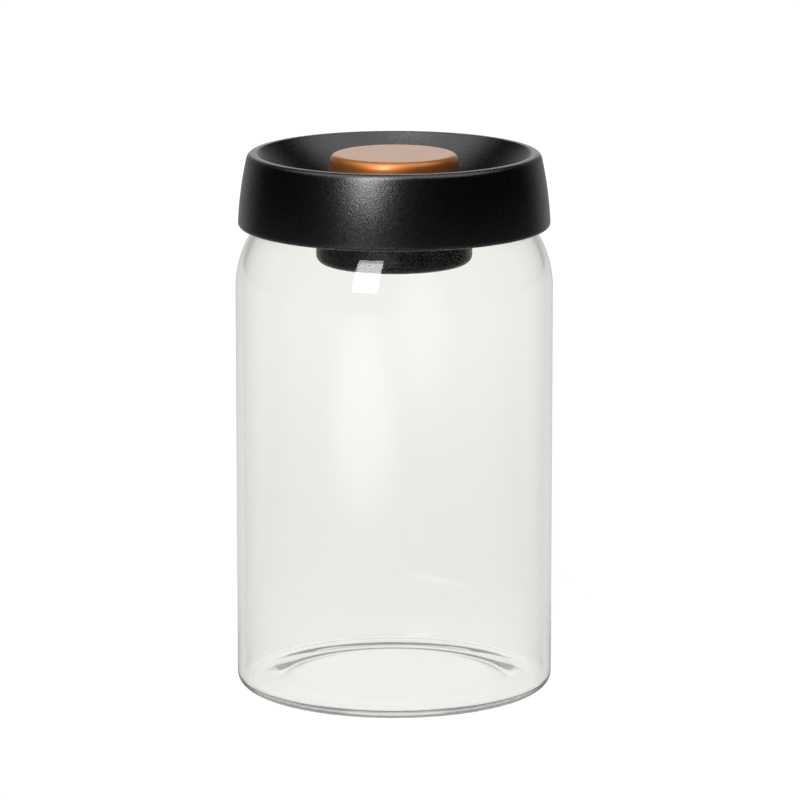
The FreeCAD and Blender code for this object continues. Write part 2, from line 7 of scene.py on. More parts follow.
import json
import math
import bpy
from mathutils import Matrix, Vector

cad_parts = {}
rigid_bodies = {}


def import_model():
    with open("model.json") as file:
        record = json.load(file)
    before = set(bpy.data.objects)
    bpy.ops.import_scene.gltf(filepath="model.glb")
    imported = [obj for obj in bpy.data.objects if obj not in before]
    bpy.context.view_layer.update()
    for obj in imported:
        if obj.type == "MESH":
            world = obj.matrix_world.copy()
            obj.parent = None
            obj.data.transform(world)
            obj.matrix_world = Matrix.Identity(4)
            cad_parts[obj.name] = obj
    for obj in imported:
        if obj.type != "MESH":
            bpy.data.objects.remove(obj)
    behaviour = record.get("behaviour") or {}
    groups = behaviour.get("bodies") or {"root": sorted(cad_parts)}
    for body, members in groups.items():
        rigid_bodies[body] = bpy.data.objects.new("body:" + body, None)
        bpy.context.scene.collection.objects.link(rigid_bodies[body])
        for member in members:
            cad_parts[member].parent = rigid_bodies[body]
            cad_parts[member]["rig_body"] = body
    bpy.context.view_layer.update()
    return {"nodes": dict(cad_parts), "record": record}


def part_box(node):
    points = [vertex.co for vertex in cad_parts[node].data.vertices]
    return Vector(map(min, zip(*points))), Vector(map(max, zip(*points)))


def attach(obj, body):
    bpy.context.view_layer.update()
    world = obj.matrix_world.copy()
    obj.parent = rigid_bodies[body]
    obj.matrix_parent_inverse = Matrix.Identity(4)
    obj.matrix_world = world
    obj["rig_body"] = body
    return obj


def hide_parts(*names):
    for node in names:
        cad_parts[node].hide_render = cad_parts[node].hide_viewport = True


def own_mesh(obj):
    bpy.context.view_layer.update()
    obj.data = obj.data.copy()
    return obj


bl_info = {
    "name": "Vacuum canister",
    "version": (1, 0, 0),
    "blender": (4, 5, 0),
    "location": "3D View > Sidebar > Canister",
    "description": "Builds the looks of a glass vacuum canister and the studio round it",
    "category": "Object",
}

import bpy
import numpy as np
from mathutils import Matrix

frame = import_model()

MM = 0.001
QUARTER = math.pi / 2
TURN = 2 * math.pi
SEGMENTS = 288
SHARP_ANGLE = math.radians(35)
SAME_PLACE = 1e-8
# Usual middle range of a noise
NOISE_LOW, NOISE_HIGH = 0.3, 0.7
# Faces of the glass that light crosses: in one wall, and on its way to the pump cup and out again
FACES_OF_WALL = 2.0
FACES_TO_CUP = 2 * FACES_OF_WALL
# Half of one crossing or mirroring, to tell whole counts apart
HALF_COUNT = 0.5
# Crossings and mirrorings after which light is given up, enough for it to leave the thick base
BOUNCES = 160


def reach(node):
    """Outer radius of a node, in millimetres."""
    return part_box(node)[1].x / MM


def low(node):
    """Lowest level of a node, in millimetres."""
    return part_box(node)[0].z / MM


def high(node):
    """Highest level of a node, in millimetres."""
    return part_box(node)[1].z / MM


def levels(node):
    """Lowest and highest level of a node, in metres."""
    return tuple(corner.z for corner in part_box(node))


def size(name, description, millimetres):
    """Length property, given in millimetres and kept in metres."""
    return bpy.props.FloatProperty(
        name=name,
        description=description,
        default=millimetres * MM,
        precision=5,
        subtype="DISTANCE",
        unit="LENGTH",
    )


def share(name, description, default):
    """Number property from 0 to 1."""
    return bpy.props.FloatProperty(
        name=name, description=description, default=default, min=0.0, max=1.0, subtype="FACTOR"
    )


def colour(name, description, default):
    """Colour property, in linear light."""
    return bpy.props.FloatVectorProperty(
        name=name, description=description, default=default, size=3, min=0.0, max=1.0, subtype="COLOR"
    )


def angle(name, description, degrees):
    """Angle property, given in degrees and kept in radians."""
    return bpy.props.FloatProperty(
        name=name, description=description, default=math.radians(degrees), subtype="ANGLE", unit="ROTATION"
    )


def place(name, description, millimetres):
    """Place property, given in millimetres and kept in metres."""
    return bpy.props.FloatVectorProperty(
        name=name,
        description=description,
        default=[part * MM for part in millimetres],
        size=3,
        subtype="TRANSLATION",
        unit="LENGTH",
    )


def brightness(name, description, default):
    """Brightness property, where 1 is white in the picture."""
    return bpy.props.FloatProperty(name=name, description=description, default=default, min=0.0)


def span(name, description, millimetres):
    """Pair of distances, given in millimetres and kept in metres."""
    default = [part * MM for part in millimetres]
    return bpy.props.FloatVectorProperty(
        name=name, description=description, default=default, size=2, unit="LENGTH"
    )


def band(name, description, default):
    """Pair of shares of a direction, between which a brightness fades."""
    return bpy.props.FloatVectorProperty(name=name, description=description, default=default, size=2)


class JarSizes(bpy.types.PropertyGroup):
    """Sizes of the glass jar."""

    radius: size("Radius", "Outside of the straight body", reach("glass_jar"))
    rim_level: size("Rim level", "Top of the rim above the floor", high("glass_jar"))
    wall: size("Wall", "Thickness of the glass", 2.4)
    corner: size("Corner", "Round between the body and the foot, outside", 4.0)
    inner_corner: size("Inner corner", "Round between the body and the floor, inside", 0.9)
    base: size("Base", "Thickness of the base at the foot", 3.0)
    foot_width: size("Foot width", "Flat ring that the jar stands on", 2.0)
    punt_width: size("Punt width", "Sloping ring between the foot and the raised middle", 16.0)
    punt_rise: size("Punt rise", "Height of the raised middle of the underside", 1.2)
    body_height: size("Body height", "Level at which the shoulder starts", 133.0)
    shoulder: size("Shoulder", "Radius of the shoulder's arc", 34.0)
    neck_radius: size("Neck radius", "Outside of the neck", 41.0)
    neck_fillet: size("Neck fillet", "Hollow round between shoulder and neck", 2.5)
    rim_round: size("Rim round", "Round of the rim, outside and inside", 0.9)


class LidSizes(bpy.types.PropertyGroup):
    """Sizes of the black lid."""

    base_level: size("Base level", "Lower edge of the skirt", low("lid_shell"))
    crest_level: size("Crest level", "Top of the lid", high("lid_shell"))
    radius: size("Radius", "Lower edge of the skirt", 51.1)
    lean: size("Lean", "How far the skirt leans in towards the crest", 3.3)
    crown: size("Crown", "How far the skirt bows outwards", 0.6)
    skirt_wall: size("Skirt wall", "Thickness of the skirt", 2.0)
    base_round: size("Base round", "Round of the lower edge, outside", 1.3)
    inner_round: size("Inner round", "Round of the lower edge, inside", 0.4)
    crest_width: size("Crest width", "Flat of the crest with its rounds", 2.9)
    crest_round: size("Crest round", "Round of the crest, outside", 2.2)
    crest_inner_round: size("Inner crest round", "Round of the crest towards the bowl", 0.6)
    crest_thickness: size("Crest thickness", "Material below the crest", 3.4)
    bowl_depth: size("Bowl depth", "From the crest to the floor of the bowl", 14.3)
    bowl_sag: size("Bowl sag", "How far the wall of the bowl is hollowed", 0.9)
    bowl_wall: size("Bowl wall", "Thickness of the bowl", 2.0)
    floor_wall: size("Floor wall", "Thickness of the floor of the bowl", 2.2)
    floor_radius: size("Floor radius", "Where the floor of the bowl meets its wall", 25.5)
    floor_round: size("Floor round", "Round between floor and wall", 4.0)
    bore: size("Bore", "Radius of the hole for the button", 21.6)
    bore_round: size("Bore round", "Round of the upper edge of the hole", 0.4)
    collar_bore: size("Collar bore", "Inside of the collar that holds the pump cup", 25.6)
    collar_wall: size("Collar wall", "Thickness of the collar", 2.2)
    collar_base: size("Collar base", "Lower end of the collar", 155.915)
    groove: size("Groove", "Depth of the snap groove in the collar", 0.5)
    groove_height: size("Groove height", "Height of the snap groove", 1.4)
    rib_thickness: size("Rib thickness", "Thickness of the ribs below the bowl", 1.6)
    rib_count: bpy.props.IntProperty(name="Ribs", description="Ribs below the bowl", default=6, min=0)


class PlugSizes(bpy.types.PropertyGroup):
    """Sizes of the plug in the mouth of the jar, with its seals."""

    base_level: size("Base level", "Lower face of the plate", low("inner_lid"))
    top_level: size("Top level", "Upper face of the flange", high("inner_lid"))
    hole: size("Hole", "Radius of the hole for the pump cup", 27.9)
    bore: size("Bore", "Inside of the plug's wall", 34.7)
    radius: size("Radius", "Outside of the plug's wall", 36.3)
    lip: size("Lip", "How far the lip below the seal stands out", 0.7)
    lip_height: size("Lip height", "Height of that lip", 1.0)
    plate: size("Plate", "Thickness of the plate", 2.2)
    flange_radius: size("Flange radius", "Outside of the flange", reach("inner_lid"))
    flange: size("Flange", "Thickness of the flange", 1.3)
    edge_round: size("Edge round", "Small round of the moulded edges", 0.25)
    seal_bore: size("Seal bore", "Inside of the mouth seal", 36.4)
    seal_radius: size("Seal radius", "Outside of the sleeve of the mouth seal", 37.6)
    seal_lip_radius: size("Seal lip radius", "Tip of the lips of the mouth seal", 38.35)
    seal_lip_height: size("Seal lip height", "Height of a lip at its root", 0.9)
    upper_lip: size("Upper lip", "Depth of the upper lip below the rim of the jar", 1.525)
    lower_lip: size("Lower lip", "Depth of the lower lip below the rim of the jar", 2.775)
    seal_flange: size("Seal flange", "Thickness of the flange of the mouth seal", 1.2)
    seal_edge: size("Seal edge", "Small round of the edges of the seals", 0.15)
    gasket_bore: size("Gasket bore", "Inside of the flat gasket", 25.7)


class ButtonSizes(bpy.types.PropertyGroup):
    """Sizes of the metal cap of the button."""

    radius: size("Radius", "Outside of the cap", reach("button_cap"))
    top_level: size("Top level", "Upper face of the cap", high("button_cap"))
    base_level: size("Base level", "Lower edge of the cap", low("button_cap"))
    wall: size("Wall", "Thickness of the metal", 0.9)
    top_round: size("Top round", "Round between the top and the side", 2.6)
    edge_round: size("Edge round", "Round of the lower edge", 0.2)
    bead_level: size("Bead level", "Middle of the snap bead inside", 165.415)
    bead_height: size("Bead height", "Height of the snap bead", 0.6)
    bead_depth: size("Bead depth", "How far the bead stands out", 0.3)


class FilterSizes(bpy.types.PropertyGroup):
    """Sizes of the snap ring that holds the filter screen."""

    radius: size("Radius", "Outside of the ring", reach("filter_ring"))
    wall: size("Wall", "Thickness of the ring", 0.6)
    lip: size("Lip", "Width of the lip below the screen", 1.1)
    lip_height: size("Lip height", "Thickness of that lip", 0.4)
    edge_round: size("Edge round", "Small round of the edges", 0.12)


class SpringSizes(bpy.types.PropertyGroup):
    """Sizes of the return spring."""

    wire: size("Wire", "Radius of the wire", 0.45)
    turns: bpy.props.IntProperty(name="Turns", description="Turns of the coil", default=7, min=1)


class Finishes(bpy.types.PropertyGroup):
    """Colours of the finishes."""

    glass: colour("Glass", "Clear glass, one wall thick", (0.962, 0.967, 0.940))
    black: colour("Black", "Grained black plastic", (0.0004, 0.0004, 0.0004))
    copper: colour("Copper", "Satin copper-coloured metal", (0.74, 0.27, 0.06))
    copper_sheen: colour("Copper sheen", "That metal seen at a flat angle", (1.0, 1.0, 0.75))
    silicone: colour("Silicone", "Milky silicone", (0.70, 0.70, 0.68))
    acetal: colour("Acetal", "Natural moulded plastic", (0.78, 0.78, 0.74))
    steel: colour("Steel", "Bright stainless steel", (0.58, 0.57, 0.55))
    paper: colour("Paper", "White paper of the floor", (0.20, 0.20, 0.20))


class StudioSizes(bpy.types.PropertyGroup):
    """Camera, lamps and floor."""

    camera_back: size("Camera distance", "Level distance from the axis to the camera", 1640.8)
    camera_height: size("Camera height", "Height of the camera above the floor", 435.7)
    camera_tilt: angle("Camera tilt", "How far the camera looks down", 11.728)
    camera_pan: angle("Camera pan", "How far the camera looks to the right of the axis", 0.066)
    camera_roll: angle("Camera roll", "How far the camera leans over", 0.0)
    lens: bpy.props.FloatProperty(
        name="Lens", description="Focal length", default=229.2, unit="CAMERA", subtype="DISTANCE_CAMERA"
    )
    floor_radius: size("Floor radius", "Size of the paper floor", 2600.0)
    floor_gap: size("Floor gap", "Room between the floor and the glass foot", 0.2)
    floor_glow: share("Floor glow", "Brightness of the floor round the object without any lamp", 0.87)
    card: brightness("Card", "Brightness of the white card behind the object in reflections", 1.2)
    backdrop: brightness("Backdrop", "Brightness of the backdrop beside the card in reflections", 0.35)
    room: brightness("Room", "Brightness of the room on the camera's side in reflections", 0.01)
    wall: share("Wall", "Share of these brightnesses that the walls have, where the floor has all", 0.8)
    through_glass: brightness("Through glass", "Least brightness of the backdrop behind thick glass", 0.65)
    inside_glass: brightness("Inside glass", "Least brightness after two mirrorings inside the glass", 0.75)
    # Painted pool of light on the paper below the tall softbox, shown only in reflections
    pool: brightness("Pool", "Brightness of the paper below the tall softbox in reflections", 1.1)
    pool_place: place("Pool place", "Middle of that pool of light", (-200, -500, 0))
    key_place: place("Key place", "Middle of the tall softbox", (-289, -734, 1144))
    key_tilt: angle("Key tilt", "How far the tall softbox looks down", 21)
    key_width: size("Key width", "Width of the tall softbox", 340)
    key_length: size("Key length", "Length of the tall softbox", 1600)
    key_light: brightness("Key light", "Brightness of the tall softbox", 8.0)
    top_place: place("Top place", "Middle of the softbox above the lid", (0, 25, 1600))
    top_tilt: angle("Top tilt", "How far the softbox above the lid looks down", 90)
    top_width: size("Top width", "Width of the softbox above the lid", 2700)
    top_length: size("Top length", "Length of the softbox above the lid", 1450)
    top_light: brightness("Top light", "Brightness of the softbox above the lid", 1.0)
    echo: share("Echo", "Share of a softbox that shows again in the far wall of the jar", 0.45)
    glow_span: span("Glow span", "Distances from the axis over which the floor grows white", (100, 700))
    # Span of the painted glow on the paper round the object, seen through thick glass
    near_span: span("Near span", "Distances over which the paper fades behind thick glass", (100, 500))
    pool_span: span("Pool span", "Distances from its middle over which the pool fades", (80, 300))
    backdrop_band: band("Backdrop band", "Share to the back over which the backdrop rises", (0.5, 0.95))
    glass_band: band("Glass band", "The same for the backdrop behind thick glass", (0.0, 0.35))
    card_band: band("Card band", "Share to the back over which the card rises", (0.3, 0.6))
    card_edge: band("Card edge", "Squared share to the side over which the card ends", (0.02, 0.1))
    ceiling_band: band("Ceiling band", "Share upwards over which the walls fade", (0.2, 0.6))


def arc(center, radius, start, end, steps=12):
    """Points center + radius (cos a, sin a), where the angle a goes evenly from start to end."""
    a = np.linspace(start, end, steps + 1)
    return np.column_stack((center[0] + radius * np.cos(a), center[1] + radius * np.sin(a)))


def run(start, end, steps=8):
    """Points on the line from start to end, closer together at both ends: the share of the way is
    (1 - cos t) / 2, where t goes evenly from 0 to pi."""
    way = (1 - np.cos(np.linspace(0, math.pi, steps + 1)))[:, None] / 2
    return np.asarray(start) + way * (np.asarray(end) - np.asarray(start))


def ogee(start, end, steps=24):
    """Points of a double bend, level at both ends: over the share s of the way across, the rise is
    2 s s up to the middle and 1 - 2 (1 - s)(1 - s) after it."""
    s = np.linspace(0, 1, steps + 1)
    rise = np.where(s < 0.5, 2 * s ** 2, 1 - 2 * (1 - s) ** 2)
    return np.column_stack((start[0] + (end[0] - start[0]) * s, start[1] + (end[1] - start[1]) * rise))


def joined(*stretches):
    """One outline from stretches that follow each other, without the points that they share."""
    points = np.vstack(stretches)
    step = np.linalg.norm(np.diff(points, axis=0), axis=1)
    return points[np.append(True, step > SAME_PLACE)]


def bowed(start, end, sag):
    """Center and radius of the circle from start to end that bows to the right by sag."""
    run_across, rise = end[0] - start[0], end[1] - start[1]
    chord = math.hypot(run_across, rise)
    radius = (chord ** 2 / 4 + sag ** 2) / (2 * sag)
    back = (radius - sag) / chord
    return ((start[0] + end[0]) / 2 - rise * back, (start[1] + end[1]) / 2 + run_across * back), radius


def out_to(center, radius, level):
    """Distance from the axis of the outer side of a circle at a level."""
    return center[0] + math.sqrt(radius ** 2 - (level - center[1]) ** 2)


def down_to(center, radius, distance):
    """Level of the lower side of a circle at a distance from the axis."""
    return center[1] - math.sqrt(radius ** 2 - (distance - center[0]) ** 2)


def toward(center, spot):
    """Direction of a spot from a center, in radians."""
    return math.atan2(spot[1] - center[1], spot[0] - center[0])


def ridge(root, tip, level, height):
    """Corners of a blunt ridge or groove from a root radius to a tip radius, going up."""
    return [
        (root, level - height / 2),
        (tip, level - height / 6),
        (tip, level + height / 6),
        (root, level + height / 2),
    ]


def softened(corners, radius, steps=4):
    """Closed outline with round corners. A corner between the directions u and v, which stand at an
    angle t, is cut back by radius / tan(t / 2) along both, or by a third of the shorter side. The arc
    between the cuts is turned about the point on the bisector of u and v, and a point beside each
    end of the arc keeps the straight sides flat in the shading."""
    corner = np.asarray(corners, float)
    before, after = np.roll(corner, 1, axis=0) - corner, np.roll(corner, -1, axis=0) - corner
    length_before, length_after = np.linalg.norm(before, axis=1), np.linalg.norm(after, axis=1)
    u, v = before / length_before[:, None], after / length_after[:, None]
    half = np.arccos(np.clip((u * v).sum(1), -1, 1)) / 2
    shorter = np.minimum(length_before, length_after)
    cut = np.minimum(radius / np.tan(half), shorter / 3)
    bisector = (u + v) / np.linalg.norm(u + v, axis=1)[:, None]
    center = corner + bisector * (cut / np.cos(half))[:, None]
    first, last = corner + u * cut[:, None], corner + v * cut[:, None]
    spokes = first - center, last - center
    start, end = (np.arctan2(spoke[:, 1], spoke[:, 0]) for spoke in spokes)
    swing = (end - start + math.pi) % TURN - math.pi
    a = start[:, None] + swing[:, None] * np.linspace(0, 1, steps + 1)
    reach_of = np.linalg.norm(spokes[0], axis=1)[:, None]
    bend = np.stack((center[:, :1] + reach_of * np.cos(a), center[:, 1:] + reach_of * np.sin(a)), axis=2)
    beside = (cut + shorter / 10)[:, None]
    outline = np.concatenate(((corner + u * beside)[:, None], bend, (corner + v * beside)[:, None]), axis=1)
    return outline.reshape(-1, 2)


def mesh_of(name, points, faces):
    """Mesh with smooth shading that breaks at sharp edges."""
    mesh = bpy.data.meshes.new(name)
    mesh.from_pydata(points, [], faces)
    mesh.shade_smooth()
    mesh.set_sharp_from_angle(angle=SHARP_ANGLE)
    mesh.update()
    return mesh


def turned(outline, closed=False, segments=SEGMENTS):
    """Points and faces of a surface of revolution: the point (r, z) of the outline goes to
    (r cos a, r sin a, z) for even angles a all round. A point on the axis is one pole. An outline with
    the material on its left gives faces that point outwards."""
    r, z = outline.T
    a = np.linspace(0, TURN, segments, endpoint=False)
    level = np.broadcast_to(z[:, None], (len(r), segments))
    grid = np.stack((np.outer(r, np.cos(a)), np.outer(r, np.sin(a)), level), axis=2)
    pole = r < SAME_PLACE
    kept = ~pole[:, None] | (np.arange(segments) == 0)
    column = np.where(pole[:, None], 0, np.arange(segments))
    index = (np.cumsum(kept.sum(1)) - kept.sum(1))[:, None] + column
    lower, upper = (index, np.roll(index, -1, axis=0)) if closed else (index[:-1], index[1:])
    quads = np.stack((lower, np.roll(lower, -1, axis=1), np.roll(upper, -1, axis=1), upper), axis=2)
    below = pole if closed else pole[:-1]
    above = np.roll(pole, -1) if closed else pole[1:]
    faces = [
        *quads[~below & ~above].reshape(-1, 4).tolist(),
        *quads[below][:, :, [0, 2, 3]].reshape(-1, 3).tolist(),
        *quads[above][:, :, [0, 1, 2]].reshape(-1, 3).tolist(),
    ]
    return grid[kept], faces


def slab(outline, thickness, heading):
    """Points and faces of an upright plate on the axis: the point (r, z) of the outline goes to
    r along + t across + z up, where along and across are level, at an angle and square to it, and t is
    half the thickness to each side."""
    along = np.array((math.cos(heading), math.sin(heading), 0))
    across = np.array((-math.sin(heading), math.cos(heading), 0))
    middle = outline[:, :1] * along + outline[:, 1:] * np.array((0, 0, 1))
    points = np.vstack((middle - across * thickness / 2, middle + across * thickness / 2))
    count = len(outline)
    painted_near_glow = np.arange(count)
    far = painted_near_glow + count
    sides = np.column_stack((painted_near_glow, np.roll(painted_near_glow, -1), np.roll(far, -1), far))
    return points, [painted_near_glow.tolist(), far[::-1].tolist(), *sides[:, ::-1].tolist()]


def together(*shells):
    """Points and faces of several shells as one."""
    points, faces, count = [], [], 0
    for shell_points, shell_faces in shells:
        points.append(shell_points)
        faces.extend([[corner + count for corner in face] for face in shell_faces])
        count += len(shell_points)
    return np.vstack(points), faces


def add_piece(name, shape, node, slot):
    """Object at the origin that stands for a node, with the finish of its slot."""
    piece = bpy.data.objects.new(name, mesh_of(name, *shape))
    bpy.context.scene.collection.objects.link(piece)
    piece.data.materials.append(finish(slot))
    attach(piece, frame["nodes"][node]["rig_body"])
    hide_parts(node)
    return piece


def feed(tree, node, inputs):
    """Sets plain numbers and colours on the sockets of a node, and links outputs of other nodes to them.
    A socket is given by its number or by its name, with low lines for spaces."""
    for key, value in inputs.items():
        socket = node.inputs[key.replace("_", " ") if isinstance(key, str) else key]
        if isinstance(value, bpy.types.NodeSocket):
            tree.links.new(value, socket)
        else:
            socket.default_value = value


def wired(tree):
    """Maker of nodes of a tree, which are fed as they are made."""

    def add(kind, settings=None, *listed, **named):
        node = tree.nodes.new("ShaderNode" + kind)
        for key, value in (settings or {}).items():
            setattr(node, key, value)
        feed(tree, node, {**dict(enumerate(listed)), **named})
        return node

    return add


def new_finish(name):
    """Material, a maker of its nodes, and a function that feeds its shader."""
    made = bpy.data.materials.new(name)
    made.use_nodes = True
    tree = made.node_tree

    def dress(**inputs):
        feed(tree, tree.nodes["Principled BSDF"], inputs)

    return made, wired(tree), dress


def shaded(colour_value, factor):
    """Colour times a factor, as a node takes it."""
    return (*(min(1.0, part * factor) for part in colour_value), 1.0)


def grain(add, scale, detail=2.0, stretch=(1, 1, 1)):
    """Noise on object coordinates, as many cells to the metre as scale says, stretched along axes."""
    spot = add("TexCoord").outputs["Object"]
    if stretch != (1, 1, 1):
        spot = add("Mapping", Vector=spot, Scale=stretch).outputs["Vector"]
    return add("TexNoise", Vector=spot, Scale=scale, Detail=detail).outputs["Fac"]


def spread(add, noise, least, most):
    """Noise brought from its usual middle range to a range of its own."""
    limits = {"From_Min": NOISE_LOW, "From_Max": NOISE_HIGH, "To_Min": least, "To_Max": most}
    return add("MapRange", Value=noise, **limits).outputs["Result"]


def mottled(add, noise, colour_value, dark, bright):
    """Colour that goes from dark to bright times itself with a noise."""
    ramp = add("ValToRGB", Fac=noise)
    stops = ((NOISE_LOW, dark), (NOISE_HIGH, bright))
    for element, (position, factor) in zip(ramp.color_ramp.elements, stops):
        element.position = position
        element.color = shaded(colour_value, factor)
    return ramp.outputs["Color"]


def raised(add, noise, strength, height):
    """Normal of a surface that a noise raises by a height."""
    return add("Bump", Strength=strength, Distance=height, Height=noise).outputs["Normal"]


def clear_glass(colours):
    """Polished clear glass with the faint waves of a blown wall."""
    made, add, dress = new_finish("polished clear glass")
    waves = grain(add, scale=26, detail=1.0, stretch=(1, 1, 0.45))
    dress(
        Base_Color=shaded(colours.glass, 1),
        Roughness=0.0,
        IOR=1.47,
        Transmission_Weight=1.0,
        Normal=raised(add, waves, strength=0.25, height=0.00025),
    )
    return made


def black_plastic(colours):
    """Black moulding with a fine spark-eroded grain."""
    made, add, dress = new_finish("grained black plastic")
    fine = grain(add, scale=2700, detail=1.0)
    broad = grain(add, scale=60, detail=3.0)
    dress(
        Base_Color=mottled(add, broad, colours.black, dark=0.85, bright=1.15),
        Roughness=spread(add, fine, least=0.22, most=0.31),
        IOR=1.9,
        Normal=raised(add, fine, strength=0.5, height=0.00012),
    )
    return made


def copper_metal(colours):
    """Copper-coloured metal with a fine blasted grain below a clear satin coat."""
    made, add, dress = new_finish("satin copper metal")
    fine = grain(add, scale=3800, detail=2.0)
    broad = grain(add, scale=90, detail=3.0)
    dress(
        Base_Color=mottled(add, broad, colours.copper, dark=0.94, bright=1.05),
        Specular_Tint=shaded(colours.copper_sheen, 1),
        Metallic=1.0,
        Roughness=spread(add, fine, least=0.50, most=0.62),
        Coat_Weight=1.0,
        Coat_Roughness=0.25,
        Normal=raised(add, fine, strength=0.12, height=0.00005),
    )
    return made


def silicone(colours):
    """Milky silicone with a soft skin and a little light inside it."""
    made, add, dress = new_finish("milky silicone")
    cloud = grain(add, scale=140, detail=3.0)
    fine = grain(add, scale=2200, detail=1.0)
    dress(
        Base_Color=mottled(add, cloud, colours.silicone, dark=0.93, bright=1.04),
        Subsurface_Weight=0.35,
        Subsurface_Scale=0.0012,
        Roughness=spread(add, fine, least=0.42, most=0.56),
        Normal=raised(add, fine, strength=0.10, height=0.00006),
    )
    return made


def white_plastic(colours):
    """Natural moulded plastic, smooth, with faint flow marks."""
    made, add, dress = new_finish("natural acetal")
    flow = grain(add, scale=110, detail=3.0, stretch=(1, 1, 3))
    fine = grain(add, scale=1800, detail=1.0)
    dress(
        Base_Color=mottled(add, flow, colours.acetal, dark=0.94, bright=1.04),
        Roughness=spread(add, fine, least=0.28, most=0.38),
        Normal=raised(add, fine, strength=0.06, height=0.00005),
    )
    return made


def steel(colours):
    """Bright steel with fine rolled lines along X."""
    made, add, dress = new_finish("bright steel")
    lines = grain(add, scale=260, detail=3.0, stretch=(1, 14, 14))
    dress(
        Base_Color=mottled(add, lines, colours.steel, dark=0.90, bright=1.06),
        Metallic=1.0,
        Roughness=spread(add, lines, least=0.20, most=0.36),
        Normal=raised(add, lines, strength=0.08, height=0.00003),
    )
    return made


FINISHES = {
    "clear_glass": clear_glass,
    "black_plastic": black_plastic,
    "copper_metal": copper_metal,
    "silicone": silicone,
    "white_plastic": white_plastic,
    "steel": steel,
}
made_finishes = {}


def finish(slot):
    """The finish of a material slot, made the first time that it is asked for."""
    if slot not in made_finishes:
        made_finishes[slot] = FINISHES[slot](bpy.context.scene.canister_finishes)
    return made_finishes[slot]


def jar_outline(jar):
    """Outline of the jar, from the axis below, up the outside, over the rim and down the inside."""
    foot = jar.radius - jar.corner
    foot_bore = foot - jar.foot_width
    punt = foot_bore - jar.punt_width
    bore = jar.radius - jar.wall
    floor_edge = bore - jar.inner_corner
    floor_corner = jar.base + jar.inner_corner
    neck_bore = jar.neck_radius - jar.wall
    shoulder = (jar.radius - jar.shoulder, jar.body_height)
    neck_reach = jar.neck_radius + jar.neck_fillet
    climb = math.sqrt((jar.shoulder + jar.neck_fillet) ** 2 - (neck_reach - shoulder[0]) ** 2)
    neck = (neck_reach, jar.body_height + climb)
    lean = toward(shoulder, neck)
    rim = jar.rim_level - jar.rim_round
    return joined(
        run((0, jar.punt_rise), (punt, jar.punt_rise)),
        ogee((punt, jar.punt_rise), (foot_bore, 0)),
        run((foot_bore, 0), (foot, 0)),
        arc((foot, jar.corner), jar.corner, -QUARTER, 0, 16),
        run((jar.radius, jar.corner), (jar.radius, jar.body_height), 24),
        arc(shoulder, jar.shoulder, 0, lean, 30),
        arc(neck, jar.neck_fillet, math.pi + lean, math.pi),
        run((jar.neck_radius, neck[1]), (jar.neck_radius, rim), 4),
        arc((jar.neck_radius - jar.rim_round, rim), jar.rim_round, 0, QUARTER, 8),
        arc((neck_bore + jar.rim_round, rim), jar.rim_round, QUARTER, math.pi, 8),
        run((neck_bore, rim), (neck_bore, neck[1]), 4),
        arc(neck, jar.neck_fillet + jar.wall, math.pi, math.pi + lean),
        arc(shoulder, jar.shoulder - jar.wall, lean, 0, 30),
        run((bore, jar.body_height), (bore, floor_corner), 24),
        arc((floor_edge, floor_corner), jar.inner_corner, 0, -QUARTER, 16),
        run((floor_edge, jar.base), (0, jar.base), 12),
    )


class CANISTER_OT_jar(bpy.types.Operator):
    """Clear glass jar, which lets light through to the floor"""

    bl_idname = "canister.jar"
    bl_label = "Glass jar"

    def execute(self, context):
        shape = turned(jar_outline(context.scene.canister_jar))
        jar = add_piece("clear_jar", shape, "glass_jar", "clear_glass")
        jar.visible_shadow = False
        return {"FINISHED"}


def skirt_and_bowl(lid):
    """Circles of the skirt and of the bowl, each a center and a radius."""
    crest_outer = lid.radius - lid.lean
    crest_inner = crest_outer - lid.crest_width
    floor = lid.crest_level - lid.bowl_depth
    skirt = bowed((lid.radius, lid.base_level), (crest_outer, lid.crest_level), lid.crown)
    bowl = bowed((lid.floor_radius, floor), (crest_inner, lid.crest_level), lid.bowl_sag)
    return skirt, bowl


def lid_outside(lid):
    """Outline of the lid that shows from above: lower edge, skirt, crest, bowl and bore. Each round is
    a ball that touches a level line and a circle, so its center lies on both, moved by its radius."""
    (skirt, skirt_radius), (bowl, bowl_radius) = skirt_and_bowl(lid)
    floor = lid.crest_level - lid.bowl_depth

    def ball(center, radius, level):
        spot = (out_to(center, radius, level), level)
        return spot, toward(center, spot)

    edge, edge_angle = ball(skirt, skirt_radius - lid.base_round, lid.base_level + lid.base_round)
    crest, crest_angle = ball(skirt, skirt_radius - lid.crest_round, lid.crest_level - lid.crest_round)
    brow, brow_angle = ball(
        bowl, bowl_radius + lid.crest_inner_round, lid.crest_level - lid.crest_inner_round
    )
    sole, sole_angle = ball(bowl, bowl_radius - lid.floor_round, floor + lid.floor_round)
    bore = lid.bore + lid.bore_round
    return joined(
        arc(edge, lid.base_round, -QUARTER, edge_angle),
        arc(skirt, skirt_radius, edge_angle, crest_angle, 20),
        arc(crest, lid.crest_round, crest_angle, QUARTER),
        run((crest[0], lid.crest_level), (brow[0], lid.crest_level), 2),
        arc(brow, lid.crest_inner_round, QUARTER, brow_angle + math.pi, 8),
        arc(bowl, bowl_radius, brow_angle, sole_angle, 24),
        arc(sole, lid.floor_round, sole_angle, -QUARTER),
        run((sole[0], floor), (bore, floor), 2),
        arc((bore, floor - lid.bore_round), lid.bore_round, QUARTER, math.pi, 6),
    )


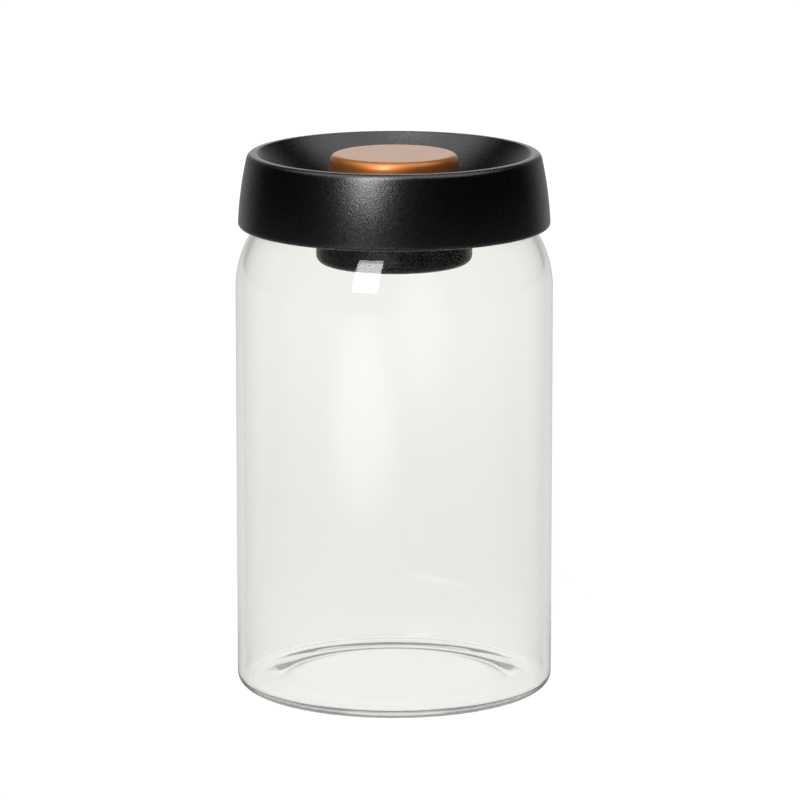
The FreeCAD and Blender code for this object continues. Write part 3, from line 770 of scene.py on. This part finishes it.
def lid_inside(lid):
    """Outline of the lid that shows from below: collar with its snap groove, bowl, hollow and skirt."""
    (skirt, skirt_radius), (bowl, bowl_radius) = skirt_and_bowl(lid)
    under = lid.crest_level - lid.bowl_depth - lid.floor_wall
    collar = lid.collar_bore + lid.collar_wall
    bowl_outer, skirt_inner = bowl_radius + lid.bowl_wall, skirt_radius - lid.skirt_wall
    hollow = lid.crest_level - lid.crest_thickness
    root = (collar, down_to(bowl, bowl_outer, collar))
    inner, outer = (out_to(bowl, bowl_outer, hollow), hollow), (out_to(skirt, skirt_inner, hollow), hollow)
    lip_level = lid.base_level + lid.inner_round
    lip = (out_to(skirt, skirt_inner + lid.inner_round, lip_level), lip_level)
    groove_level = (lid.collar_base + under) / 2
    groove = ridge(lid.collar_bore, lid.collar_bore + lid.groove, groove_level, lid.groove_height)
    return joined(
        [(lid.bore, under), (lid.collar_bore, under), *reversed(groove)],
        [(lid.collar_bore, lid.collar_base), (collar, lid.collar_base), root],
        arc(bowl, bowl_outer, toward(bowl, root), toward(bowl, inner), 20),
        arc(skirt, skirt_inner, toward(skirt, outer), toward(skirt, lip), 20),
        arc(lip, lid.inner_round, toward(skirt, lip) + math.pi, QUARTER * 3, 6),
    )


def rib_outline(lid, plug):
    """Outline of a rib: it stands on the plate and on the flange of the plug and ends in the bowl."""
    _, (bowl, bowl_radius) = skirt_and_bowl(lid)
    sunk = bowl_radius + lid.bowl_wall / 2
    root = lid.collar_bore + lid.collar_wall / 2
    step = plug.bore - lid.inner_round
    plate = plug.base_level + plug.plate
    ends = [(distance, down_to(bowl, sunk, distance)) for distance in (plug.flange_radius, root)]
    return joined(
        [(root, plate), (step, plate), (step, plug.top_level), (plug.flange_radius, plug.top_level)],
        arc(bowl, sunk, toward(bowl, ends[0]), toward(bowl, ends[1])),
    )


class CANISTER_OT_lid(bpy.types.Operator):
    """Black lid: skirt, crest and bowl in one moulding, with ribs below the bowl"""

    bl_idname = "canister.lid"
    bl_label = "Lid"

    def execute(self, context):
        lid, plug = context.scene.canister_lid, context.scene.canister_plug
        shell = turned(joined(lid_outside(lid), lid_inside(lid)), closed=True)
        rib = rib_outline(lid, plug)
        headings = np.arange(lid.rib_count) * TURN / lid.rib_count
        ribs = [slab(rib, lid.rib_thickness, heading) for heading in headings]
        add_piece("black_lid", together(shell, *ribs), "lid_shell", "black_plastic")
        return {"FINISHED"}


def plug_outline(plug):
    """Outline of the plug: plate, lip, wall and flange."""
    lip = plug.radius + plug.lip
    lip_top = plug.base_level + plug.lip_height
    flange_base = plug.top_level - plug.flange
    plate_top = plug.base_level + plug.plate
    corners = [
        (plug.hole, plug.base_level),
        (lip, plug.base_level),
        (lip, lip_top),
        (plug.radius, lip_top),
        (plug.radius, flange_base),
        (plug.flange_radius, flange_base),
        (plug.flange_radius, plug.top_level),
        (plug.bore, plug.top_level),
        (plug.bore, plate_top),
        (plug.hole, plate_top),
    ]
    return softened(corners, plug.edge_round)


def mouth_seal_outline(plug, lip_levels):
    """Outline of the mouth seal: a sleeve with a lip at each level and a flange on the rim."""
    base, top = levels("mouth_seal")
    rim = top - plug.seal_flange
    flange = reach("mouth_seal") * MM
    lips = []
    for level in lip_levels:
        lips.extend(ridge(plug.seal_radius, plug.seal_lip_radius, level, plug.seal_lip_height))
    corners = [
        (plug.seal_bore, base),
        (plug.seal_radius, base),
        *lips,
        (plug.seal_radius, rim),
        (flange, rim),
        (flange, top),
        (plug.seal_bore, top),
    ]
    return softened(corners, plug.seal_edge)


class CANISTER_OT_plug(bpy.types.Operator):
    """Plug in the mouth of the jar, with the mouth seal and the gasket of the pump cup"""

    bl_idname = "canister.plug"
    bl_label = "Plug and seals"

    def execute(self, context):
        plug, rim = context.scene.canister_plug, context.scene.canister_jar.rim_level
        add_piece("black_plug", turned(plug_outline(plug), closed=True), "inner_lid", "black_plastic")
        seal = mouth_seal_outline(plug, [rim - plug.lower_lip, rim - plug.upper_lip])
        add_piece("lipped_seal", turned(seal, closed=True), "mouth_seal", "silicone")
        inner, outer = plug.gasket_bore, reach("cup_seal") * MM
        base, top = levels("cup_seal")
        gasket = softened([(inner, base), (outer, base), (outer, top), (inner, top)], plug.seal_edge)
        add_piece("flat_gasket", turned(gasket, closed=True), "cup_seal", "silicone")
        return {"FINISHED"}


def button_outline(button):
    """Outline of the cap: from the axis below the top, down the inside with its snap bead, round the
    lower edge, up the outside and over the round to the axis."""
    bore = button.radius - button.wall
    ceiling = button.top_level - button.wall
    inner_round = button.top_round - button.wall
    bead = ridge(bore, bore - button.bead_depth, button.bead_level, button.bead_height)
    edge = button.base_level + button.edge_round
    shoulder = button.top_level - button.top_round
    return joined(
        run((0, ceiling), (bore - inner_round, ceiling)),
        arc((bore - inner_round, ceiling - inner_round), inner_round, QUARTER, 0),
        run((bore, ceiling - inner_round), bead[-1], 4),
        [*reversed(bead), (bore, edge)],
        arc((bore + button.edge_round, edge), button.edge_round, math.pi, math.pi + QUARTER, 4),
        arc((button.radius - button.edge_round, edge), button.edge_round, -QUARTER, 0, 4),
        run((button.radius, edge), (button.radius, shoulder), 12),
        arc((button.radius - button.top_round, shoulder), button.top_round, 0, QUARTER, 16),
        run((button.radius - button.top_round, button.top_level), (0, button.top_level)),
    )


class CANISTER_OT_button(bpy.types.Operator):
    """Copper-coloured metal cap of the button"""

    bl_idname = "canister.button"
    bl_label = "Button"

    def execute(self, context):
        shape = turned(button_outline(context.scene.canister_button))
        add_piece("copper_button", shape, "button_cap", "copper_metal")
        return {"FINISHED"}


class CANISTER_OT_filter(bpy.types.Operator):
    """Snap ring that holds the filter screen below the pump cup"""

    bl_idname = "canister.filter"
    bl_label = "Filter ring"

    def execute(self, context):
        ring = context.scene.canister_filter
        base, top = levels("filter_ring")
        wall = ring.radius - ring.wall
        seat = base + ring.lip_height
        corners = [
            (wall - ring.lip, base),
            (ring.radius, base),
            (ring.radius, top),
            (wall, top),
            (wall, seat),
            (wall - ring.lip, seat),
        ]
        outline = softened(corners, ring.edge_round)
        add_piece("snap_ring", turned(outline, closed=True), "filter_ring", "black_plastic")
        return {"FINISHED"}


def coil(radius, base, top, wire_radius, turns, steps=64, sides=14):
    """Points and faces of a coiled wire. Its middle line is (R cos a, R sin a, base + rise a), and the
    circle round it lies across the direction (-R sin a, R cos a, rise) of that line."""
    a = np.linspace(0, TURN * turns, turns * steps + 1)
    rise = (top - base) / (TURN * turns)
    out = np.column_stack((np.cos(a), np.sin(a), np.zeros_like(a)))
    along = np.column_stack((-radius * np.sin(a), radius * np.cos(a), np.full_like(a, rise)))
    along /= np.linalg.norm(along, axis=1)[:, None]
    up = np.cross(out, along)
    middle = radius * out + np.outer(base + rise * a, (0, 0, 1))
    b = np.linspace(0, TURN, sides, endpoint=False)[None, :, None]
    points = middle[:, None] + wire_radius * (np.cos(b) * out[:, None] + np.sin(b) * up[:, None])
    index = np.arange(len(a) * sides).reshape(len(a), sides)
    lower, upper = index[:-1], index[1:]
    faces = np.stack((lower, upper, np.roll(upper, -1, axis=1), np.roll(lower, -1, axis=1)), axis=2)
    ends = [index[0].tolist(), index[-1][::-1].tolist()]
    return points.reshape(-1, 3), faces.reshape(-1, 4).tolist() + ends


class CANISTER_OT_spring(bpy.types.Operator):
    """Return spring in the pump cup"""

    bl_idname = "canister.spring"
    bl_label = "Return spring"

    def execute(self, context):
        spring = context.scene.canister_spring
        base, top = levels("return_spring")
        radius = reach("return_spring") * MM - spring.wire
        shape = coil(radius, base + spring.wire, top - spring.wire, spring.wire, spring.turns)
        piece = add_piece("wound_spring", shape, "return_spring", "steel")
        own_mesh(piece)
        return {"FINISHED"}


class CANISTER_OT_working_parts(bpy.types.Operator):
    """Finishes of the pump cup and of the working parts inside it"""

    bl_idname = "canister.working_parts"
    bl_label = "Working parts"

    def execute(self, context):
        for part in frame["record"]["subparts"]:
            node = frame["nodes"][part["node"]]
            if not node.hide_render:
                node.material_slots[0].material = finish(part["material_slot"])
        return {"FINISHED"}


def faded(add, value, limits, least, most):
    """Value between two limits brought smoothly to another range, and held at its ends."""
    start, end = limits
    ranges = {"From_Min": start, "From_Max": end, "To_Min": least, "To_Max": most}
    return add("MapRange", {"interpolation_type": "SMOOTHSTEP"}, Value=value, **ranges).outputs["Result"]


def math_of(add, operation, first, second):
    """Result of an operation on two values: a product, a difference, the larger one or a test."""
    return add("Math", {"operation": operation}, first, second).outputs["Value"]


def seen_straight(add):
    """1 where a place is seen by the camera, or through glass with no mirroring on the way."""
    path = add("LightPath").outputs
    unmirrored = math_of(add, "LESS_THAN", path["Glossy Depth"], HALF_COUNT)
    through = math_of(add, "MULTIPLY", path["Is Transmission Ray"], unmirrored)
    return math_of(add, "MAXIMUM", path["Is Camera Ray"], through)


def glow_in_glass(add, studio, depth, painted_near_glow=0.0):
    """Brightness that light bent by glass meets: that of the backdrop, which rises with the Y of the
    direction, or the painted glow of the paper round the object. Light that comes from the pump cup misses
    both, and light that was mirrored twice or has crossed the thick base meets an even brightness on all
    sides."""
    path = add("LightPath").outputs
    crossed, mirrorings = path["Transmission Depth"], path["Glossy Depth"]
    behind = faded(add, depth, studio.glass_band, 0.0, studio.through_glass)
    off_cup = math_of(add, "SUBTRACT", 1.0, math_of(add, "COMPARE", crossed, FACES_TO_CUP))
    # The painted glow round the object counts where it is brighter than the backdrop
    direct = math_of(add, "MULTIPLY", math_of(add, "MAXIMUM", behind, painted_near_glow), off_cup)
    twice = math_of(add, "GREATER_THAN", mirrorings, 1 + HALF_COUNT)
    deep = math_of(add, "GREATER_THAN", crossed, FACES_TO_CUP + HALF_COUNT)
    inside = math_of(add, "MULTIPLY", math_of(add, "MAXIMUM", twice, deep), studio.inside_glass)
    in_glass = math_of(add, "GREATER_THAN", crossed, HALF_COUNT)
    return math_of(add, "MULTIPLY", in_glass, math_of(add, "MAXIMUM", direct, inside))


def paper_floor(studio, colours):
    """Pale paper. In the picture and through glass it also glows by itself, a little less round the object,
    where the lamps add to it and their shadow falls, so that the background stays white. In mirrors it is
    grey behind the object and dark on the camera's side, with a painted pool of light below the tall
    softbox, and light bent by glass meets a painted glow on it round the object. The brightness follows the
    distance from the axis, the Y of the direction from there and the distance from the painted pool."""
    made, add, dress = new_finish("white paper")
    fibre = grain(add, scale=420, detail=4.0)
    spot = add("TexCoord").outputs["Object"]
    distance = add("VectorMath", {"operation": "LENGTH"}, spot).outputs["Value"]
    glow = faded(add, distance, studio.glow_span, studio.floor_glow, 1.0)
    heading = add("VectorMath", {"operation": "NORMALIZE"}, spot).outputs["Vector"]
    depth = add("SeparateXYZ", None, heading).outputs["Y"]
    behind = faded(add, depth, studio.backdrop_band, studio.room, studio.backdrop)
    # Painted glow on the paper round the object, met only by light bent by glass
    painted_near_glow = faded(add, distance, studio.near_span, studio.through_glass, 0.0)
    # Painted pool of light on the paper below the tall softbox, seen only in mirrors
    from_pool = add("VectorMath", {"operation": "DISTANCE"}, spot, studio.pool_place).outputs["Value"]
    pool = faded(add, from_pool, studio.pool_span, studio.pool, 0.0)
    mirror = math_of(add, "MAXIMUM", behind, pool)
    mirror = math_of(add, "MAXIMUM", mirror, glow_in_glass(add, studio, depth, painted_near_glow))
    path = add("LightPath").outputs
    bent = math_of(add, "MAXIMUM", path["Is Glossy Ray"], path["Is Transmission Ray"])
    mirrored = math_of(add, "MULTIPLY", bent, mirror)
    dress(
        Base_Color=mottled(add, fibre, colours.paper, dark=0.99, bright=1.01),
        Roughness=0.9,
        Specular_IOR_Level=0.1,
        Emission_Color=(1, 1, 1, 1),
        Emission_Strength=add("Mix", None, seen_straight(add), A=mirrored, B=glow).outputs["Result"],
    )
    made.cycles.emission_sampling = "NONE"
    return made


def studio_world(studio):
    """White in the picture and through glass. What lights and mirrors meet is a room with a grey backdrop,
    which falls off towards the camera with the Y of the direction, and a white card on it, whose edges
    follow the square of its X. Both fall off towards the ceiling with its Z. Light that has been bent by
    glass meets a brighter backdrop up to the ceiling."""
    world = bpy.data.worlds.new("studio")
    world.use_nodes = True
    world.node_tree.nodes.clear()
    add = wired(world.node_tree)
    direction = add("SeparateXYZ", None, add("TexCoord").outputs["Generated"]).outputs
    backdrop = faded(add, direction["Y"], studio.backdrop_band, studio.room, studio.backdrop)
    aside = math_of(add, "MULTIPLY", direction["X"], direction["X"])
    card_across = faded(add, aside, studio.card_edge, studio.card, 0.0)
    card = math_of(add, "MULTIPLY", card_across, faded(add, direction["Y"], studio.card_band, 0.0, 1.0))
    ceiling = faded(add, direction["Z"], studio.ceiling_band, 1.0, studio.room)
    room = math_of(add, "MULTIPLY", math_of(add, "MAXIMUM", backdrop, card), ceiling)
    bent = glow_in_glass(add, studio, direction["Y"])
    mirrored = math_of(add, "MULTIPLY", math_of(add, "MAXIMUM", room, bent), studio.wall)
    bright = math_of(add, "MAXIMUM", mirrored, seen_straight(add))
    background = add("Background", Color=(1, 1, 1, 1), Strength=bright).outputs["Background"]
    add("OutputWorld", Surface=background)
    bpy.context.scene.world = world


def softbox(name, middle, tilt, width, length, radiance, echo):
    """Rectangular lamp that faces the axis of the object from its place and looks down by a tilt. A flat
    lamp of area A that shines with a radiance L gives the power pi A L. Only a share of it, the echo, is
    left for light that has crossed the jar to its far wall and back."""
    lamp = bpy.data.lights.new(name, "AREA")
    lamp.shape = "RECTANGLE"
    lamp.size, lamp.size_y = width, length
    lamp.energy = math.pi * width * length * radiance
    lamp.use_nodes = True
    add = wired(lamp.node_tree)
    crossed = add("LightPath").outputs["Transmission Depth"]
    strength = faded(add, crossed, (FACES_OF_WALL, FACES_TO_CUP), 1.0, echo)
    feed(lamp.node_tree, lamp.node_tree.nodes["Emission"], {"Strength": strength})
    box = bpy.data.objects.new(name, lamp)
    bpy.context.scene.collection.objects.link(box)
    box.matrix_world = (
        Matrix.Translation(middle)
        @ Matrix.Rotation(math.atan2(middle[0], -middle[1]), 4, "Z")
        @ Matrix.Rotation(QUARTER - tilt, 4, "X")
    )
    box.visible_camera = False


class CANISTER_OT_stage(bpy.types.Operator):
    """Paper floor, studio light and camera"""

    bl_idname = "canister.stage"
    bl_label = "Studio"

    def execute(self, context):
        scene = context.scene
        studio = scene.canister_studio
        scene.view_settings.view_transform = "Standard"
        for limit in ("max_bounces", "transmission_bounces", "glossy_bounces"):
            setattr(scene.cycles, limit, BOUNCES)
        self.lay_floor(scene, studio)
        studio_world(studio)
        for name in ("key", "top"):
            parts = ("place", "tilt", "width", "length", "light")
            softbox(name, *(getattr(studio, f"{name}_{part}") for part in parts), studio.echo)
        self.set_camera(scene, studio)
        return {"FINISHED"}

    def lay_floor(self, scene, studio):
        outline = run((studio.floor_radius, -studio.floor_gap), (0, -studio.floor_gap), 6)
        floor = bpy.data.objects.new("paper_floor", mesh_of("paper_floor", *turned(outline, segments=96)))
        scene.collection.objects.link(floor)
        floor.data.materials.append(paper_floor(studio, scene.canister_finishes))

    def set_camera(self, scene, studio):
        camera = bpy.data.cameras.new("camera")
        camera.lens = studio.lens
        camera.clip_end = 100
        holder = bpy.data.objects.new("camera", camera)
        scene.collection.objects.link(holder)
        holder.matrix_world = (
            Matrix.Translation((0, -studio.camera_back, studio.camera_height))
            @ Matrix.Rotation(-studio.camera_pan, 4, "Z")
            @ Matrix.Rotation(QUARTER - studio.camera_tilt, 4, "X")
            @ Matrix.Rotation(studio.camera_roll, 4, "Z")
        )
        scene.camera = holder


class CANISTER_PT_sidebar(bpy.types.Panel):
    """Sizes and steps of the canister"""

    bl_idname = "CANISTER_PT_sidebar"
    bl_label = "Vacuum canister"
    bl_space_type = "VIEW_3D"
    bl_region_type = "UI"
    bl_category = "Canister"

    def draw(self, context):
        layout = self.layout
        for operator in OPERATORS:
            layout.operator(operator.bl_idname)
        for name, group in GROUPS.items():
            box = layout.box()
            box.label(text=group.__doc__)
            for key in group.__annotations__:
                box.prop(getattr(context.scene, name), key)


GROUPS = {
    "canister_jar": JarSizes,
    "canister_lid": LidSizes,
    "canister_plug": PlugSizes,
    "canister_button": ButtonSizes,
    "canister_filter": FilterSizes,
    "canister_spring": SpringSizes,
    "canister_finishes": Finishes,
    "canister_studio": StudioSizes,
}
OPERATORS = [
    CANISTER_OT_jar,
    CANISTER_OT_lid,
    CANISTER_OT_plug,
    CANISTER_OT_button,
    CANISTER_OT_filter,
    CANISTER_OT_spring,
    CANISTER_OT_working_parts,
    CANISTER_OT_stage,
]


def register():
    """Makes the classes known and gives the scene their settings."""
    for name, group in GROUPS.items():
        bpy.utils.register_class(group)
        setattr(bpy.types.Scene, name, bpy.props.PointerProperty(type=group))
    for operator in OPERATORS:
        bpy.utils.register_class(operator)
    bpy.utils.register_class(CANISTER_PT_sidebar)


def unregister():
    """Takes back what register did, in the opposite order."""
    bpy.utils.unregister_class(CANISTER_PT_sidebar)
    for operator in reversed(OPERATORS):
        bpy.utils.unregister_class(operator)
    for name, group in reversed(GROUPS.items()):
        delattr(bpy.types.Scene, name)
        bpy.utils.unregister_class(group)


def main():
    """Builds the pieces and the studio."""
    register()
    bpy.ops.canister.jar()
    bpy.ops.canister.lid()
    bpy.ops.canister.plug()
    bpy.ops.canister.button()
    bpy.ops.canister.filter()
    bpy.ops.canister.spring()
    bpy.ops.canister.working_parts()
    bpy.ops.canister.stage()


if __name__ == "__main__":
    main()
